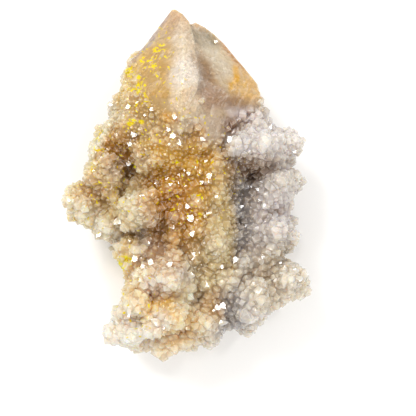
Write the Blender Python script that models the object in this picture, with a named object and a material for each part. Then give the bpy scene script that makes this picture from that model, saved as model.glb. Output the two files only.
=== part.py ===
"""Spirit quartz: a large quartz point whose flanks carry a crust of small stout crystals.

The specimen lies on its broken back with its crystals up. +Y runs towards the tip of the large point, +Z is up,
and the origin is the middle of the underside's box. Lengths are in millimetres and turned to metres as each mesh
is made.
"""

import math
import random

import bmesh
import bpy
from mathutils import Matrix, Vector

MM = 0.001

# Driving dimensions: the finished piece is brought to this length and width, and its underside is cut this deep
LENGTH = 73.3
WIDTH = 53.4
CUT_DEPTH = 0.6

# Quartz angles: the normal of a pyramid face stands 51.8 degrees from the crystal's long axis
PYRAMID_LEAN = math.radians(51.8)
FACE_STEP = math.radians(60)

# The two large points, side by side: how their common axis lies
AXIS_LEFT = math.radians(1)
AXIS_RAISED = math.radians(8)
FRONT_FACE_TURN = math.radians(-26)

# For each, the tip, every prism face's distance from the axis, how far past the tip every pyramid face meets the
# axis (more makes that face smaller), the length, and further faces as a point and an outward direction
LARGE_POINTS = {
    "left_point": (
        (-3.8, 36.5, 17.5),
        (12.6, 13.6, 13.0, 14.0, 12.5, 10.4),
        (0.0, 2.4, 2.4, 1.0, 0.6, 0.2),
        24.0,
        [((1.8, 20.0, 29.0), (0.93, 0.10, 0.36)), ((0.2, 34.9, 17.0), (0.56, 0.80, 0.10))],
    ),
    "right_point": (
        (0.6, 36.4, 14.6),
        (13.2, 13.6, 13.4, 13.0, 12.5, 12.0),
        (0.0, 0.4, 0.4, 1.0, 1.0, 0.0),
        27.5,
        [
            ((2.4, 33.9, 15.0), (0.22, 0.97, 0.12)),
            ((8.3, 29.4, 15.0), (0.80, 0.60, 0.06)),
            ((15.0, 18.0, 15.0), (0.99, 0.06, 0.12)),
        ],
    ),
}

# Lumps of the cluster: centre, half sizes, and the mean radius of the crystals that grow on each
LUMPS = {
    "body": ((-0.5, -1.0, 13.0), (14.0, 19.0, 10.6), 2.2),
    "body_foot": ((4.5, -17.0, 12.0), (13.0, 12.0, 9.0), 2.2),
    "under_left_face": ((-4.6, 8.4, 16.4), (8.4, 7.4, 10.4), 1.8),
    "under_right_face": ((5.4, 4.0, 15.4), (6.0, 7.0, 9.6), 1.9),
    "left_shoulder": ((-10.0, 21.0, 15.0), (2.8, 6.6, 7.5), 1.5),
    "left_upper": ((-12.4, 12.5, 15.5), (4.2, 8.0, 8.6), 1.9),
    "left_rim": ((-16.8, 4.6, 15.5), (4.2, 7.4, 8.4), 2.0),
    "left_corner": ((-21.4, -2.8, 13.5), (4.2, 4.6, 7.6), 2.1),
    "left_knob": ((-9.6, -4.4, 20.0), (5.0, 4.4, 7.4), 1.9),
    "left_under": ((-16.4, -6.9, 13.5), (4.6, 3.4, 7.6), 2.0),
    "left_waist": ((-10.6, -13.0, 14.0), (4.4, 5.0, 8.6), 2.2),
    "foot_crest": ((-4.6, -17.8, 19.0), (7.0, 4.4, 9.0), 2.6),
    "foot_left": ((-10.2, -22.6, 17.0), (3.8, 5.0, 8.6), 2.6),
    "foot_middle": ((-4.2, -25.2, 19.0), (6.0, 4.6, 8.8), 2.9),
    "foot_corner": ((-12.2, -29.6, 15.0), (3.8, 3.6, 8.0), 2.8),
    "foot_end": ((-4.4, -31.4, 14.8), (5.4, 2.8, 7.4), 2.8),
    "foot_right": ((2.6, -27.2, 16.6), (5.0, 4.2, 8.0), 2.4),
    "right_crest": ((13.0, 8.4, 18.6), (6.6, 4.8, 8.6), 2.4),
    "right_shoulder": ((18.4, 8.8, 15.0), (4.4, 3.4, 8.0), 2.3),
    "right_middle": ((17.6, 0.6, 15.5), (4.2, 5.4, 8.4), 2.4),
    "right_lower": ((17.6, -8.8, 14.5), (4.0, 4.8, 7.8), 2.4),
    "right_foot": ((19.6, -19.0, 13.5), (4.4, 4.4, 8.0), 2.5),
    "right_inner": ((13.2, -22.4, 16.2), (5.4, 4.4, 7.8), 2.4),
    "pale_ridge": ((5.4, -10.8, 17.2), (4.2, 7.4, 7.2), 2.2),
    "lower_middle": ((10.6, -26.4, 11.5), (5.0, 3.4, 6.6), 2.2),
    "foot_heart": ((-5.5, -23.5, 13.0), (8.0, 8.0, 7.5), 2.6),
    "left_heart": ((-15.0, -3.0, 12.0), (6.0, 9.0, 7.0), 2.2),
    "right_heart": ((14.5, -9.0, 13.0), (5.5, 14.0, 7.5), 2.4),
}

# The broken root that the cluster rests on: an outline, and a wider one halfway up
ROOT_OUTLINE = [
    (-13, 10), (-6, 19), (6, 18), (14, 9), (16, -8), (14, -20), (4, -27), (-8, -28), (-12, -16), (-17, -4)
]
ROOT_HEIGHT = 12.0
ROOT_SPREAD = 1.16

# Crust crystals. Apart from the floor, these are shares of a crystal's own radius
CRUST_SEED = 14
CRUST_FLOOR = 3.2
COVER = 1.45
RADIUS_RANGE = (0.74, 1.26)
CLOSEST = 0.94
LUMP_OVERLAP = 0.2
NUDGE = 0.12
TURNED_ASIDE = 0.16
UNEVEN_REACH = (0.92, 1.06)
THREEFOLD = 0.14
TIP_OFF_CENTRE = 0.22
SHOULDER_RANGE = (0.05, 0.4)
UNEVEN_SHOULDER = 0.1
TIP_STEEPNESS = 0.86
ROOT_DEPTH = 1.7
ROOT_SHARE = 0.8

# Helpers at least this far apart share one mesh
GROUP_GAP = 0.4
CRYSTAL_REACH = 1.75

# Clean-up of the joined mesh
FLAT_WITHIN = math.radians(0.3)
SLIVER = 0.002

QUARTZ_COLOUR = (0.72, 0.62, 0.46, 1.0)
QUARTZ_ROUGHNESS = 0.3


def clear_scene():
    for old in list(bpy.data.objects):
        bpy.data.objects.remove(old)


def quartz_material():
    material = bpy.data.materials.new("spirit_quartz")
    material.use_nodes = True
    shader = material.node_tree.nodes["Principled BSDF"]
    shader.inputs["Base Color"].default_value = QUARTZ_COLOUR
    shader.inputs["Roughness"].default_value = QUARTZ_ROUGHNESS
    shader.inputs["Metallic"].default_value = 0.0
    return material


def object_from(name, bm, helper=False):
    """An object holding the mesh of bm, scaled from millimetres. A helper is only there for a Boolean."""
    bmesh.ops.recalc_face_normals(bm, faces=bm.faces)
    bmesh.ops.scale(bm, vec=(MM, MM, MM), verts=bm.verts)
    mesh = bpy.data.meshes.new(name)
    bm.to_mesh(mesh)
    bm.free()
    made = bpy.data.objects.new(name, mesh)
    bpy.context.scene.collection.objects.link(made)
    if helper:
        made.hide_render = True
        made.display_type = "WIRE"
    return made


def long_axis():
    """The direction of the large points' long axis: along +Y, leaning left and with its tip raised."""
    flat = math.cos(AXIS_RAISED)
    return Vector((-math.sin(AXIS_LEFT) * flat, math.cos(AXIS_LEFT) * flat, math.sin(AXIS_RAISED)))


def face_normals(axis, turn):
    """The outward normals of the six prism faces and of the six pyramid faces, counted from the front."""
    side = axis.cross(Vector((0, 0, 1))).normalized()
    front = side.cross(axis).normalized()
    angles = [turn + k * FACE_STEP for k in range(6)]
    prism = [math.cos(angle) * front + math.sin(angle) * side for angle in angles]
    pyramid = [math.sin(PYRAMID_LEAN) * n + math.cos(PYRAMID_LEAN) * axis for n in prism]
    return prism, pyramid


def large_point_planes(tip, prism_reach, pyramid_rise, length, further):
    """The faces of a large point, each as a point on it and its outward normal."""
    tip = Vector(tip)
    axis = long_axis()
    prism, pyramid = face_normals(axis, FRONT_FACE_TURN)
    planes = [(tip + n * reach, n) for n, reach in zip(prism, prism_reach)]
    planes += [(tip + axis * rise, n) for n, rise in zip(pyramid, pyramid_rise)]
    planes.append((tip - axis * length, -axis))
    planes += [(Vector(on), Vector(way).normalized()) for on, way in further]
    return planes


def solid_between(planes):
    """The convex solid behind every plane, cut from a cube larger than the whole specimen."""
    bm = bmesh.new()
    bmesh.ops.create_cube(bm, size=1.2 * LENGTH)
    for point, normal in planes:
        cut = bmesh.ops.bisect_plane(
            bm,
            geom=bm.verts[:] + bm.edges[:] + bm.faces[:],
            dist=1e-5,
            plane_co=point,
            plane_no=normal,
            clear_outer=True,
        )
        rim = [e for e in cut["geom_cut"] if isinstance(e, bmesh.types.BMEdge)]
        if rim:
            bmesh.ops.edgeloop_fill(bm, edges=rim)
    return bm


def root_mesh():
    """The broken root: the convex hull of one outline below, a wider one halfway and the first again on top."""
    bm = bmesh.new()
    for x, y in ROOT_OUTLINE:
        bm.verts.new((x, y, 0.0))
        bm.verts.new((x * ROOT_SPREAD, y * ROOT_SPREAD, ROOT_HEIGHT / 2))
        bm.verts.new((x, y, ROOT_HEIGHT))
    made = bmesh.ops.convex_hull(bm, input=bm.verts)
    spare = [v for v in made["geom_interior"] if isinstance(v, bmesh.types.BMVert)]
    bmesh.ops.delete(bm, geom=spare, context="VERTS")
    return bm


def inside_lump(point, centre, half_sizes):
    """Whether a point is inside a lump, and not only in the thin layer under its surface."""
    return sum(((p - c) / (h - LUMP_OVERLAP)) ** 2 for p, c, h in zip(point, centre, half_sizes)) < 1.0


def inside_planes(point, planes):
    return all((point - on).dot(normal) < 0 for on, normal in planes)


def directions(count, rng):
    """Points spread evenly over a sphere along a golden spiral, each nudged a little."""
    golden = math.pi * (3 - math.sqrt(5))
    for k in range(count):
        height = 1 - 2 * (k + 0.5) / count
        ring = math.sqrt(1 - height * height)
        on_sphere = Vector((ring * math.cos(k * golden), ring * math.sin(k * golden), height))
        yield (on_sphere + random_way(rng) * NUDGE).normalized()


def random_way(rng):
    return Vector((rng.gauss(0, 1), rng.gauss(0, 1), rng.gauss(0, 1)))


def surface_area(a, b, c):
    """An ellipsoid's surface from its half sizes, by Thomsen's formula."""
    power = 1.6
    mean = ((a * b) ** power + (a * c) ** power + (b * c) ** power) / 3
    return 4 * math.pi * mean ** (1 / power)


def crust_places(large_points, rng):
    """Where the crust's crystals stand: (foot on the lump, outward direction, radius), none too close to another."""
    places = []
    for name, (centre, half_sizes, mean_radius) in LUMPS.items():
        others = [(c, h) for other, (c, h, _) in LUMPS.items() if other != name]
        for way in directions(int(surface_area(*half_sizes) / (mean_radius**2 * COVER)), rng):
            radius = mean_radius * rng.uniform(*RADIUS_RANGE)
            foot = Vector(c + h * w for c, h, w in zip(centre, half_sizes, way))
            outward = Vector(w / h for w, h in zip(way, half_sizes)).normalized()
            if foot.z < CRUST_FLOOR or any(inside_lump(foot, c, h) for c, h in others):
                continue
            if any(inside_planes(foot + outward * radius, planes) for planes in large_points):
                continue
            if any((foot - there).length < CLOSEST * (radius + r) for there, _, r in places):
                continue
            places.append((foot, (outward + random_way(rng) * TURNED_ASIDE).normalized(), radius))
    return places


def add_crystal(bm, foot, way, radius, rng):
    """One stout quartz crystal: a six-sided prism with a slightly uneven six-faced tip."""
    side = way.orthogonal().normalized()
    other = way.cross(side)
    spin = rng.uniform(0, FACE_STEP)
    off = TIP_OFF_CENTRE
    tip_off = (side * rng.uniform(-off, off) + other * rng.uniform(-off, off)) * radius
    shoulder = radius * rng.uniform(*SHOULDER_RANGE)
    below = []
    above = []
    for k in range(6):
        angle = spin + k * FACE_STEP
        reach = radius * (1.0 + THREEFOLD * (-1) ** k) * rng.uniform(*UNEVEN_REACH)
        arm = (side * math.cos(angle) + other * math.sin(angle)) * reach
        height = shoulder + radius * rng.uniform(-UNEVEN_SHOULDER, UNEVEN_SHOULDER)
        below.append(bm.verts.new(foot + arm * ROOT_SHARE - way * radius * ROOT_DEPTH))
        above.append(bm.verts.new(foot + arm + way * height))
    tip = bm.verts.new(foot + tip_off + way * (shoulder + radius * TIP_STEEPNESS))
    bm.faces.new(below[::-1])
    for k in range(6):
        n = (k + 1) % 6
        bm.faces.new((below[k], below[n], above[n]))
        bm.faces.new((below[k], above[n], above[k]))
        bm.faces.new((above[k], above[n], tip))


def apart(items, touches):
    """Sorts items into groups in which none touches another, so that each group is one clean mesh."""
    groups = []
    for item in items:
        for group in groups:
            if not any(touches(item, member) for member in group):
                group.append(item)
                break
        else:
            groups.append([item])
    return groups


def lumps_touch(one, two):
    return all(abs(p - q) < a + b + GROUP_GAP for p, q, a, b in zip(one[0], two[0], one[1], two[1]))


def crystals_touch(one, two):
    return (one[0] - two[0]).length < CRYSTAL_REACH * (one[2] + two[2]) + GROUP_GAP


def join(base, helper, operation="UNION"):
    modifier = base.modifiers.new(helper.name, "BOOLEAN")
    modifier.operation = operation
    modifier.object = helper
    modifier.solver = "EXACT"


def underside_cutter():
    """A block whose top lies CUT_DEPTH above the root's underside, to trim it and whatever hangs lower."""
    side = 1.2 * LENGTH
    height = CUT_DEPTH + ROOT_HEIGHT
    bm = bmesh.new()
    shape = Matrix.Translation((0, 0, CUT_DEPTH - height / 2)) @ Matrix.Diagonal((side, side, height, 1))
    bmesh.ops.create_cube(bm, size=1.0, matrix=shape)
    return object_from("underside_cutter", bm, helper=True)


def shells(bm):
    """The connected shells of a mesh, each a list of faces."""
    left = set(bm.faces)
    while left:
        shell = []
        edge = [left.pop()]
        while edge:
            face = edge.pop()
            shell.append(face)
            for near in {f for e in face.edges for f in e.link_faces} & left:
                left.discard(near)
                edge.append(near)
        yield shell


def box_of(bm):
    lowest = Vector(min(v.co[k] for v in bm.verts) for k in range(3))
    highest = Vector(max(v.co[k] for v in bm.verts) for k in range(3))
    return lowest, highest


def bring_to_size(bm):
    """Scales the shape to LENGTH and WIDTH, and stands it with its underside's middle at the origin."""
    lowest, highest = box_of(bm)
    sides = highest - lowest
    fit = (WIDTH * MM / sides.x, LENGTH * MM / sides.y, 1.0)
    bmesh.ops.scale(bm, vec=fit, verts=bm.verts)
    print("sides in mm", [round(s / MM, 2) for s in sides], "scaled by", [round(f, 4) for f in fit])
    lowest, highest = box_of(bm)
    middle = (lowest + highest) / 2
    bmesh.ops.translate(bm, vec=(-middle.x, -middle.y, -lowest.z), verts=bm.verts)
    print("moved in mm", [round(-c / MM, 2) for c in (middle.x, middle.y, lowest.z)])


def keep_outer_skin(quartz):
    """Makes the joined shape the object's own mesh: its outermost shell, with flat faces merged."""
    graph = bpy.context.evaluated_depsgraph_get()
    joined = bpy.data.meshes.new_from_object(quartz.evaluated_get(graph), depsgraph=graph)
    quartz.modifiers.clear()
    bm = bmesh.new()
    bm.from_mesh(joined)
    bmesh.ops.dissolve_limit(bm, angle_limit=FLAT_WITHIN, verts=bm.verts, edges=bm.edges)
    by_area = sorted(shells(bm), key=lambda faces: sum(f.calc_area() for f in faces))
    inner = [face for shell in by_area[:-1] for face in shell]
    bmesh.ops.delete(bm, geom=inner, context="FACES")
    bmesh.ops.triangulate(bm, faces=bm.faces)
    bmesh.ops.dissolve_degenerate(bm, dist=SLIVER * MM, edges=bm.edges)
    bring_to_size(bm)
    print("triangles", len(bm.faces), "inner shells", len(by_area) - 1)
    bm.to_mesh(joined)
    bm.free()
    old = quartz.data
    quartz.data = joined
    bpy.data.meshes.remove(old)


def build():
    clear_scene()
    rng = random.Random(CRUST_SEED)
    large_points = {name: large_point_planes(*shape) for name, shape in LARGE_POINTS.items()}
    quartz = object_from("spirit_quartz", root_mesh())
    quartz.data.materials.append(quartz_material())
    for name, planes in large_points.items():
        join(quartz, object_from(name, solid_between(planes), helper=True))
    lumps = [(centre, half_sizes) for centre, half_sizes, _ in LUMPS.values()]
    for k, group in enumerate(apart(lumps, lumps_touch)):
        bm = bmesh.new()
        for centre, half_sizes in group:
            shape = Matrix.Translation(centre) @ Matrix.Diagonal((*half_sizes, 1.0))
            bmesh.ops.create_icosphere(bm, subdivisions=2, radius=1.0, matrix=shape)
        join(quartz, object_from(f"lumps_{k}", bm, helper=True))
    places = crust_places(large_points.values(), rng)
    groups = apart(places, crystals_touch)
    print("crystals", len(places), "groups", len(groups))
    for k, group in enumerate(groups):
        bm = bmesh.new()
        for foot, way, radius in group:
            add_crystal(bm, foot, way, radius, rng)
        join(quartz, object_from(f"crust_{k}", bm, helper=True))
    join(quartz, underside_cutter(), "DIFFERENCE")
    keep_outer_skin(quartz)


build()
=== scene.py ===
# %% [markdown]
# Spirit quartz is one large quartz crystal that went on growing while thousands of small ones sprouted from
# its sides. What the eye picks out is the contrast: two broad, nearly clear faces at the tip, and below them
# a crust that glitters because every little crystal shows a few flat faces.
#
# The CAD model already has the large points, the swellings of the cluster and its bigger crystals. This
# script keeps all of that in place and grows the fine crust on it. It then gives the stone its stained,
# half-clear material, and lights it.

# %% The frame
import math
import time

import bmesh
import bpy
import numpy as np
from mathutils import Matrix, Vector
from mathutils.bvhtree import BVHTree
from mathutils.kdtree import KDTree


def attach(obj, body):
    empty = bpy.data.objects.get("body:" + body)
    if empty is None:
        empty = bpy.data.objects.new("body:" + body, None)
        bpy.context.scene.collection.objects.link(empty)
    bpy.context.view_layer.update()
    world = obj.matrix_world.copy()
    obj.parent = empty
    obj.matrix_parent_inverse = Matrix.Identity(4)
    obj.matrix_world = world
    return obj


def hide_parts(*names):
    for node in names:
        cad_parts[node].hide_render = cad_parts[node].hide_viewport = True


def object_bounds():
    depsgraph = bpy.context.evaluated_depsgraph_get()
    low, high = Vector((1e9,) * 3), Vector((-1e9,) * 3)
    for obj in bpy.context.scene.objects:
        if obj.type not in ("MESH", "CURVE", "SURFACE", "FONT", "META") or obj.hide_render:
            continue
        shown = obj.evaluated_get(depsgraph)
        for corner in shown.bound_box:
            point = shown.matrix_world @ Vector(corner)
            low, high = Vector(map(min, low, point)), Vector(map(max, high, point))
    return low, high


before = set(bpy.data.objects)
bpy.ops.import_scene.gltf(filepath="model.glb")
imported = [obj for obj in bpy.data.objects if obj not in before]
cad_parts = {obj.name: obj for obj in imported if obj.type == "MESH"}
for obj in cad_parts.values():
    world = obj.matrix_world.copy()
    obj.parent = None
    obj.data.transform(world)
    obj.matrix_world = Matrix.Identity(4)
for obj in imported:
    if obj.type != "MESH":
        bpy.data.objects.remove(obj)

MM = 0.001
STARTED = time.time()
cad_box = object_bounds()
cad_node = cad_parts["spirit_quartz"]
print("CAD box in mm", [[round(c / MM, 1) for c in corner] for corner in cad_box])

# %% [markdown]
# The camera comes first, because it says what the picture can show. The stone was photographed from straight
# above its crystals, so the camera looks down with the tip at the top of the frame. One pixel of the
# photograph is 0.21 mm at the height where the outline of the crust lies.

# %% Camera
PHOTO_SIDE = 416
MM_PER_PIXEL = 0.21
LENS = 85.0
SENSOR = 36.0
NEAREST_SEEN = 0.01
VIEW_CENTRE = (4.2, -4.7)
OUTLINE_HEIGHT = 15.0

frame_width = PHOTO_SIDE * MM_PER_PIXEL
distance = frame_width * LENS / SENSOR
camera = bpy.data.objects.new("camera", bpy.data.cameras.new("camera"))
camera.data.lens = LENS
camera.data.sensor_width = SENSOR
camera.data.clip_start = NEAREST_SEEN
camera.location = (VIEW_CENTRE[0] * MM, VIEW_CENTRE[1] * MM, (OUTLINE_HEIGHT + distance) * MM)
bpy.context.scene.collection.objects.link(camera)
bpy.context.scene.camera = camera
print("camera", round(distance), "mm above the outline, frame", round(frame_width, 1), "mm wide")


def pixel_direction(pixel):
    """The way from the camera through a pixel of the photograph: right and up from its middle, and down."""
    right, down = pixel[0] - PHOTO_SIDE / 2, pixel[1] - PHOTO_SIDE / 2
    return Vector((right * MM_PER_PIXEL, -down * MM_PER_PIXEL, -distance)).normalized()


def pixels_of(places):
    """Where points show in the photograph: their offset from the camera's axis, shrunk by their depth."""
    offset = (places - np.array(camera.location)) / MM
    scale = distance / (-offset[:, 2] * MM_PER_PIXEL)
    return np.column_stack([PHOTO_SIDE / 2 + offset[:, 0] * scale, PHOTO_SIDE / 2 - offset[:, 1] * scale])


# %% [markdown]
# A mesh is easiest to think of as arrays: one row of coordinates per corner point, and one row of point
# numbers per face. The helpers here move such arrays into Blender and out of it. Every face also carries two
# numbers that the material reads later: a random one that its whole crystal shares, and a random one of its
# own. A face keeps them through every Boolean.

# %% Meshes from arrays
FACE_NUMBERS = ("grain", "facet")


def read_out(rows, key, width=1, kind=np.float32):
    """One value for every point or face of a mesh, or a row of width values, as an array."""
    values = np.empty(len(rows) * width, kind)
    rows.foreach_get(key, values)
    return values.reshape(-1, width) if width > 1 else values


def add_numbers(mesh, name, domain, values):
    """Gives every point or face of a mesh a number of its own, which a material reads by its name."""
    mesh.attributes.new(name, "FLOAT", domain).data.foreach_set("value", np.asarray(values, np.float32))


def mesh_object(name, points, face_groups, numbers=None):
    """An object from points (n, 3) and arrays of faces, where each array holds faces with the same number of
    corners. numbers holds one value per face for each name in FACE_NUMBERS."""
    mesh = bpy.data.meshes.new(name)
    corners = np.concatenate([group.ravel() for group in face_groups])
    sizes = np.concatenate([np.full(len(group), group.shape[1]) for group in face_groups])
    mesh.vertices.add(len(points))
    mesh.vertices.foreach_set("co", np.asarray(points, np.float32).ravel())
    mesh.loops.add(len(corners))
    mesh.loops.foreach_set("vertex_index", corners.astype(np.int32))
    mesh.polygons.add(len(sizes))
    mesh.polygons.foreach_set("loop_start", np.concatenate([[0], np.cumsum(sizes)[:-1]]).astype(np.int32))
    mesh.update(calc_edges=True)
    for key in FACE_NUMBERS:
        add_numbers(mesh, key, "FACE", np.zeros(len(sizes)) if numbers is None else numbers[key])
    made = bpy.data.objects.new(name, mesh)
    bpy.context.scene.collection.objects.link(made)
    return made


def arrays_of(mesh):
    """The points (n, 3) and triangles (m, 3) of a mesh."""
    mesh.calc_loop_triangles()
    points = read_out(mesh.vertices, "co", 3).astype(float)
    return points, read_out(mesh.loop_triangles, "vertices", 3, np.int32)


def finished(made):
    """Turns an object's modifiers into its own mesh."""
    graph = bpy.context.evaluated_depsgraph_get()
    mesh = bpy.data.meshes.new_from_object(made.evaluated_get(graph), depsgraph=graph)
    made.modifiers.clear()
    made.data = mesh
    return made


def unit(vectors):
    """Vectors at length one."""
    return vectors / np.linalg.norm(vectors, axis=-1, keepdims=True)


# %% [markdown]
# The CAD node arrives as loose triangles. A copy of it is welded, so that it is closed and Booleans can work
# on it.

# %% The welded copy
WELD = 1e-6


def welded(source):
    """The points and triangles of a mesh with its loose triangles joined."""
    shape = bmesh.new()
    shape.from_mesh(source.data)
    bmesh.ops.remove_doubles(shape, verts=shape.verts, dist=WELD)
    open_edges = sum(not edge.is_manifold for edge in shape.edges)
    points = np.array([v.co[:] for v in shape.verts])
    triangles = np.array([[v.index for v in f.verts] for f in shape.faces])
    shape.free()
    print("welded copy", len(triangles), "triangles,", open_edges, "open edges")
    return points, triangles


whole_points, whole_triangles = welded(cad_node)

# %% [markdown]
# Under the crust lies a core of massive quartz with rounded knobs. It could be modelled anew, but the CAD
# model already has that form. So the welded copy is remeshed and smoothed, which turns its larger crystals
# into knobs, and drawn in to leave room for the crust. The knobs are drawn in a little more than the
# valleys.

# %% The core that the crust grows on
CORE_VOXEL = 0.6
CORE_SMOOTHING = 4
CORE_DRAWN_IN = 0.22
KNOBS_EVENED_OUT = 0.08
PROUD_LIMIT = 2
SMOOTHING_ROUNDS = 50
CORE_SHARE_KEPT = 0.12


def triangle_facts(points, triangles):
    """Each triangle's normal, area and centre: half the cross product of two edges is area times normal."""
    a, b, c = (points[triangles[:, k]] for k in range(3))
    cross = np.cross(b - a, c - a)
    area = np.linalg.norm(cross, axis=1) / 2
    return cross / np.maximum(2 * area, 1e-15)[:, None], area, (a + b + c) / 3


def point_normals(points, triangles):
    """The area-weighted mean of the normals of the triangles round each point."""
    normal, area, _ = triangle_facts(points, triangles)
    weighted = (normal * area[:, None]).T
    total = [sum(np.bincount(corner, part, len(points)) for corner in triangles.T) for part in weighted]
    return unit(np.column_stack(total) + 1e-12)


def smoothed(points, triangles, rounds):
    """Moves every point to the mean of its neighbours, again and again. bincount adds up the neighbours."""
    one = triangles.ravel()
    two = triangles[:, [1, 2, 0]].ravel()
    count = np.bincount(one, minlength=len(points)) + np.bincount(two, minlength=len(points))
    for _ in range(rounds):
        total = [
            np.bincount(one, points[two, k], len(points)) + np.bincount(two, points[one, k], len(points))
            for k in range(3)
        ]
        points = np.column_stack(total) / np.maximum(count, 1)[:, None]
    return points


def remeshed_core():
    """The welded copy as even squares of CORE_VOXEL, smoothed, in triangles."""
    core = mesh_object("core", whole_points, [whole_triangles])
    remesh = core.modifiers.new("remesh", "REMESH")
    remesh.mode = "VOXEL"
    remesh.voxel_size = CORE_VOXEL * MM
    finished(core)
    points, triangles = arrays_of(core.data)
    bpy.data.objects.remove(core)
    return smoothed(points, triangles, CORE_SMOOTHING), triangles


def with_fewer_triangles(points, triangles, share):
    """The same form with a share of the triangles: edges collapse where the form changes least."""
    coarse = mesh_object("coarse", points, [triangles])
    fewer = coarse.modifiers.new("fewer", "DECIMATE")
    fewer.ratio = share
    finished(coarse)
    arrays = arrays_of(coarse.data)
    bpy.data.objects.remove(coarse)
    return arrays


fine_points, fine_triangles = remeshed_core()
fine_normals = point_normals(fine_points, fine_triangles)
away = fine_points - smoothed(fine_points, fine_triangles, SMOOTHING_ROUNDS)
fine_proud = np.sum(away * fine_normals, axis=1) / MM
drawn_in = CORE_DRAWN_IN + KNOBS_EVENED_OUT * np.clip(fine_proud, -PROUD_LIMIT, PROUD_LIMIT)
core_points = fine_points - fine_normals * drawn_in[:, None] * MM
core_points, core_triangles = with_fewer_triangles(core_points, fine_triangles, CORE_SHARE_KEPT)
print("core", len(fine_triangles), "then", len(core_triangles), "triangles")

# %% [markdown]
# The crust doesn't grow everywhere. It leaves the points' broad faces bare above a slanting line, and the
# underside is broken stone. A face of the CAD model counts as broad if the triangles that share its plane
# cover more than 20 square millimetres together. Near the tips and on the right shoulder every face above
# the line is bare.

# %% Where the stone is bare
BROAD_FACE = 20.0
# pixels of the photograph, from left to right
BARE_LINE = [(110, 62), (128, 64), (133, 68), (140, 88), (150, 106), (165, 116), (178, 114), (186, 114)]
BARE_LINE += [(196, 122), (206, 134), (215, 141), (222, 136), (228, 128), (233, 122), (245, 112), (262, 106)]
BARE_LINE += [(280, 100)]
POINTS_ABOVE = 3.5
ALL_BARE_FROM = 29.0
RIGHT_BARE_FROM = (6.0, 18.0)
FOOT_EDGE = 1.4


def plane_areas(points, triangles):
    """For each triangle, the area of all that share its plane: those whose normal and offset round alike."""
    normal, area, centre = triangle_facts(points, triangles)
    offset = np.sum(normal * centre, axis=1) / MM
    key = np.round(np.column_stack([normal * 40, offset * 2])).astype(int)
    _, plane = np.unique(key, axis=0, return_inverse=True)
    plane = plane.ravel()
    return np.bincount(plane, area)[plane] / MM**2


whole_plane_areas = plane_areas(whole_points, whole_triangles)
whole_tree = BVHTree.FromPolygons(whole_points.tolist(), whole_triangles.tolist())


def on_stone(pixel):
    """Where the ray through a pixel of the photograph meets the CAD model, in mm."""
    hit, _, _, _ = whole_tree.ray_cast(camera.location, pixel_direction(pixel))
    return np.array(hit) / MM


def at_height(pixel, height):
    """Where the ray through a pixel of the photograph passes a height in mm."""
    way = np.array(pixel_direction(pixel))
    start = np.array(camera.location) / MM
    return start + way * (height - start[2]) / way[2]


def is_bare(places):
    """True above the line, where the nearest face of the CAD model is a broad one or the place is near the
    tips or on the right shoulder, and true at the foot."""
    nearest = [whole_tree.find_nearest(Vector(place))[2] for place in places]
    broad = whole_plane_areas[nearest] > BROAD_FACE
    line = np.array(BARE_LINE)
    across, down = pixels_of(places).T
    above_line = down < np.interp(across, line[:, 0], line[:, 1])
    x, y, z = (places / MM).T
    on_right = (x > RIGHT_BARE_FROM[0]) & (y > RIGHT_BARE_FROM[1])
    on_points = (broad | (y > ALL_BARE_FROM) | on_right) & (z > POINTS_ABOVE) & above_line
    return on_points | (z < FOOT_EDGE)


# %% [markdown]
# Everything is joined by Boolean unions, which leave one closed skin. That is what a see-through stone
# needs: a ray of light should meet a surface only where the stone really begins or ends. The shapes that are
# joined or cut away are stacks of rings, as a loaf is a stack of slices.

# %% Booleans and the shapes for them


def boolean(base, other, operation):
    """Adds a Boolean modifier. The manifold solver is quick and needs closed meshes."""
    modifier = base.modifiers.new(other.name, "BOOLEAN")
    modifier.operation = operation
    modifier.object = other
    modifier.solver = "MANIFOLD"


def walls_between(n, rings):
    """The four-sided faces between rings of n points that lie one after the other in a mesh."""
    k = np.arange(n)
    after = (k + 1) % n
    wall = np.column_stack([k, after, after + n, k + n])
    return np.vstack([wall + level * n for level in range(rings - 1)])


def closed_stack(name, rings):
    """A closed mesh over rings of (x, y, z) corners in mm that run anticlockwise, the lowest ring first."""
    n = len(rings[0])
    end = np.arange(n)[None]
    faces = [end[:, ::-1], end + (len(rings) - 1) * n, walls_between(n, len(rings))]
    return mesh_object(name, np.vstack(rings) * MM, faces)


def at_level(outline, heights):
    """A ring: an outline of (x, y) corners at one height, or at a height for each corner."""
    return np.column_stack([outline, np.broadcast_to(heights, len(outline))])


def outline_at(pixels, height):
    """Pixels of the photograph as (x, y) corners in mm at a height."""
    return np.array([at_height(pixel, height)[:2] for pixel in pixels])


def part_of_whole(name, limit):
    """What the welded copy and a limiting shape have in common, with flat faces as they are."""
    made = mesh_object(name, whole_points, [whole_triangles])
    boolean(made, limit, "INTERSECT")
    finished(made)
    bpy.data.objects.remove(limit)
    return made


def joined(name, points, triangles, helpers):
    """The union of a mesh and its helpers, which are used up."""
    base = mesh_object(name, points, [triangles])
    for helper in helpers:
        boolean(base, helper, "UNION")
    finished(base)
    for helper in helpers:
        bpy.data.objects.remove(helper)
    return base


# %% [markdown]
# The last layer of quartz covered only a part of the large point's face. It shows as a thin pale plate whose
# edge catches the light. It is made as a low closed form on that face, which is sunk into it far enough for
# the union.

# %% The last layer of growth
LAYER_OUTLINE = [(178, 53), (187, 53), (194, 60), (198, 69), (198, 80), (196, 92), (191, 104), (186, 111)]
LAYER_OUTLINE += [(179, 109), (173, 100), (171, 86), (172, 72), (174, 60)]
LAYER_RISE = (0.08, 0.45)
LAYER_SUNK = 1.5
LAYER_INSET = 0.36
RIM_SHARE = 0.5


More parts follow.
